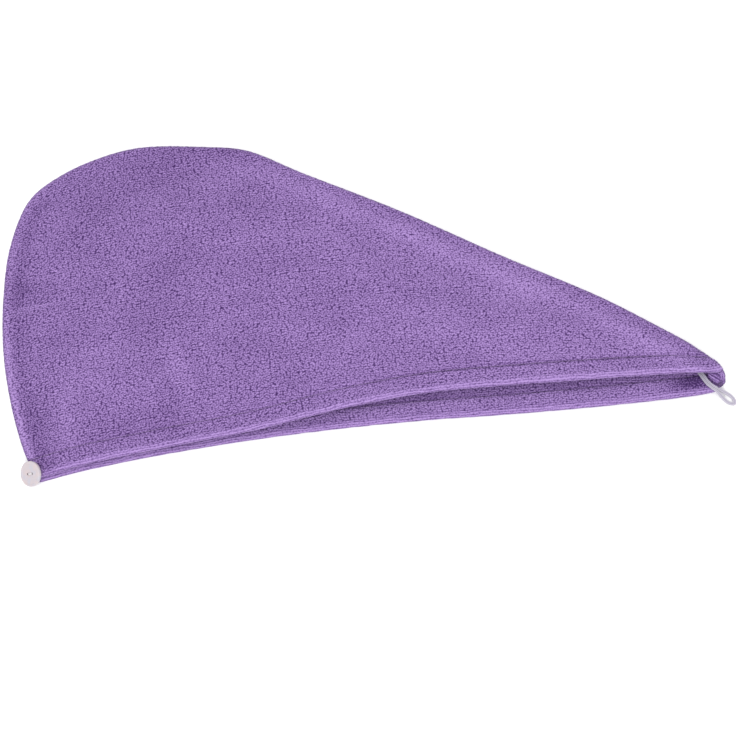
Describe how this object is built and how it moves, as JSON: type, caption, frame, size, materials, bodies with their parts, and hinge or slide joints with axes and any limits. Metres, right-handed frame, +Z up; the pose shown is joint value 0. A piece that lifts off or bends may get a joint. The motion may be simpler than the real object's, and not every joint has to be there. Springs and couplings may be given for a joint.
{
  "type": "hair turban towel",
  "caption": "Terry hair turban towel lying flat: a hood with an open mouth that narrows to a long tail, with a nape button and an elastic loop at the tip.",
  "frame": {"origin": "middle of the towel's box at the height of the surface that it lies on", "axes": "+X along the mouth from the nape to the tip of the tail, +Y from the mouth to the crown, +Z up"},
  "size_m": [0.6552, 0.321, 0.0174],
  "materials": {
    "terry": "purple microfibre terry with short wavy loops in rows",
    "terry_hem": "the same terry folded in and stitched",
    "button_plastic": "pale pinkish-white pearly plastic",
    "thread": "white sewing thread",
    "elastic": "pale grey-lavender braided elastic with ribs along it"
  },
  "bodies": {
    "root": {"upper_panel": "terry", "lower_panel": "terry", "upper_hem_nape": "terry_hem", "upper_hem_middle": "terry_hem", "upper_hem_tail": "terry_hem", "lower_hem": "terry_hem", "button": "button_plastic", "button_thread": "thread", "elastic_loop": "elastic"}
  },
  "joints": []
}
